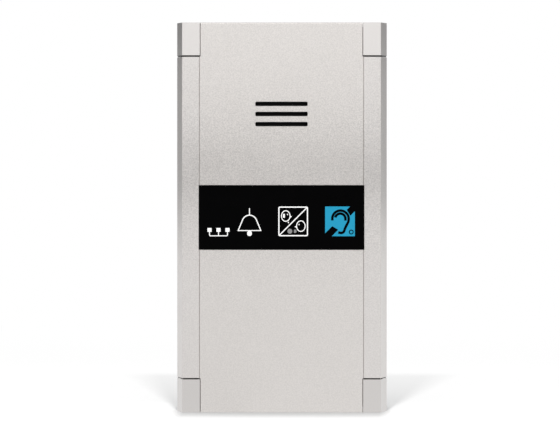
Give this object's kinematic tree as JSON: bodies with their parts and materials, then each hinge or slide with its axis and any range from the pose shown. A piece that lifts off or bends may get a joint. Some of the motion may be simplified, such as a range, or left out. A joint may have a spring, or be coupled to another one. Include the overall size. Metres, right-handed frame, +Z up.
{
  "type": "elevator emergency intercom",
  "caption": "Slim wall-mounted elevator emergency intercom with leaning side rails, pull-off corner caps, sound slots, a black pictogram window, loudspeaker, microphone and induction loop.",
  "frame": {"origin": "centre of the wall screw pattern, on the wall plane", "axes": "+X to the right seen from the front, +Z up, +Y into the wall; the front faces -Y"},
  "size_m": [0.1, 0.018, 0.185],
  "materials": {
    "panel_aluminium": "fine bead blasted and clear anodised",
    "rail_aluminium": "fine bead blasted and clear anodised",
    "cap_silver": "satin silver lacquer",
    "zinc_steel": "zinc plated sheet",
    "screw_steel": "bright zinc plated",
    "window_black": "polished black",
    "film_white": "translucent diffusing film",
    "frame_white": "smooth white",
    "lamp_clear": "clear lens on a white package",
    "cloth_black": "open woven acoustic cloth",
    "foam_black": "closed cell foam",
    "cone_black": "pressed cone, fine grain",
    "rubber_black": "matt rubber",
    "spider_cloth": "resin treated cloth",
    "ferrite_grey": "ground ferrite",
    "copper_wire": "enamelled copper wire",
    "phenolic_brown": "phenolic sheet",
    "tinned_brass": "tinned brass",
    "nickel_brass": "nickel plated brass",
    "board_green": "solder mask over glass fibre",
    "terminal_green": "moulded polyamide",
    "switch_red": "moulded",
    "part_white": "moulded white",
    "part_black": "moulded black",
    "trimmer_blue": "moulded blue",
    "can_aluminium": "drawn aluminium can",
    "lead_red": "insulated wire",
    "lead_grey": "insulated wire"
  },
  "bodies": {
    "housing": {"chassis": "zinc_steel", "rail_left": "rail_aluminium", "rail_right": "rail_aluminium", "upper_panel": "panel_aluminium", "lower_panel": "panel_aluminium", "pictogram_window": "window_black", "pictogram_film": "film_white", "light_box": "frame_white", "pictogram_leds": "lamp_clear", "slot_cloth": "cloth_black", "speaker_gasket": "foam_black", "speaker_basket": "zinc_steel", "speaker_top_plate": "zinc_steel", "speaker_magnet": "ferrite_grey", "speaker_yoke": "zinc_steel", "speaker_surround": "rubber_black", "speaker_spider": "spider_cloth", "speaker_tag_strip": "phenolic_brown", "speaker_tags": "tinned_brass", "speaker_bosses": "zinc_steel", "speaker_clamps": "zinc_steel", "speaker_clamp_screws": "screw_steel", "main_board": "board_green", "board_standoffs": "nickel_brass", "board_screws": "screw_steel", "terminal_block": "terminal_green", "terminal_screws": "screw_steel", "mode_switch_body": "switch_red", "program_button_body": "part_black", "volume_trimmer_body": "trimmer_blue", "line_transformer": "ferrite_grey", "line_relay": "part_black", "capacitors": "can_aluminium", "control_chips": "part_black", "lead_sockets": "part_white", "coil_former": "part_black", "loop_coil": "copper_wire", "microphone_boot": "rubber_black", "microphone_capsule": "can_aluminium", "speaker_leads": "lead_red", "microphone_leads": "lead_grey", "coil_leads": "copper_wire", "rail_screws": "screw_steel", "end_screws": "screw_steel"},
    "cap_top_left": {"corner_cap_top_left": "cap_silver"},
    "cap_top_right": {"corner_cap_top_right": "cap_silver"},
    "cap_bottom_left": {"corner_cap_bottom_left": "cap_silver"},
    "cap_bottom_right": {"corner_cap_bottom_right": "cap_silver"},
    "cone": {"speaker_cone": "cone_black", "speaker_dust_cap": "cone_black", "voice_coil": "copper_wire"},
    "program_button": {"program_button_plunger": "part_white"},
    "volume_rotor": {"volume_trimmer_rotor": "part_white"},
    "mode_slider_1": {"mode_switch_slider_1": "part_white"},
    "mode_slider_2": {"mode_switch_slider_2": "part_white"},
    "mode_slider_3": {"mode_switch_slider_3": "part_white"},
    "mode_slider_4": {"mode_switch_slider_4": "part_white"}
  },
  "joints": [
    {"name": "cap_top_left_pull", "type": "slide", "parent": "housing", "child": "cap_top_left", "axis": [0, -1, 0], "range_m": [0, 0.022]},
    {"name": "cap_top_right_pull", "type": "slide", "parent": "housing", "child": "cap_top_right", "axis": [0, -1, 0], "range_m": [0, 0.022]},
    {"name": "cap_bottom_left_pull", "type": "slide", "parent": "housing", "child": "cap_bottom_left", "axis": [0, -1, 0], "range_m": [0, 0.022]},
    {"name": "cap_bottom_right_pull", "type": "slide", "parent": "housing", "child": "cap_bottom_right", "axis": [0, -1, 0], "range_m": [0, 0.022]},
    {"name": "cone_travel", "type": "slide", "parent": "housing", "child": "cone", "axis": [0, -1, 0], "range_m": [-0.0005, 0.0005], "stiffness_N_per_m": 800},
    {"name": "program_button_press", "type": "slide", "parent": "housing", "child": "program_button", "axis": [0, -1, 0], "range_m": [0, 0.0003], "stiffness_N_per_m": 600},
    {"name": "volume_turn", "type": "hinge", "parent": "housing", "child": "volume_rotor", "pos_m": [0, -0.0046, -0.052], "axis": [0, 1, 0], "range_deg": [-135, 135]},
    {"name": "mode_slider_1_move", "type": "slide", "parent": "housing", "child": "mode_slider_1", "axis": [0, 0, 1], "range_m": [0, 0.0018]},
    {"name": "mode_slider_2_move", "type": "slide", "parent": "housing", "child": "mode_slider_2", "axis": [0, 0, 1], "range_m": [-0.0018, 0]},
    {"name": "mode_slider_3_move", "type": "slide", "parent": "housing", "child": "mode_slider_3", "axis": [0, 0, 1], "range_m": [0, 0.0018]},
    {"name": "mode_slider_4_move", "type": "slide", "parent": "housing", "child": "mode_slider_4", "axis": [0, 0, 1], "range_m": [0, 0.0018]}
  ]
}
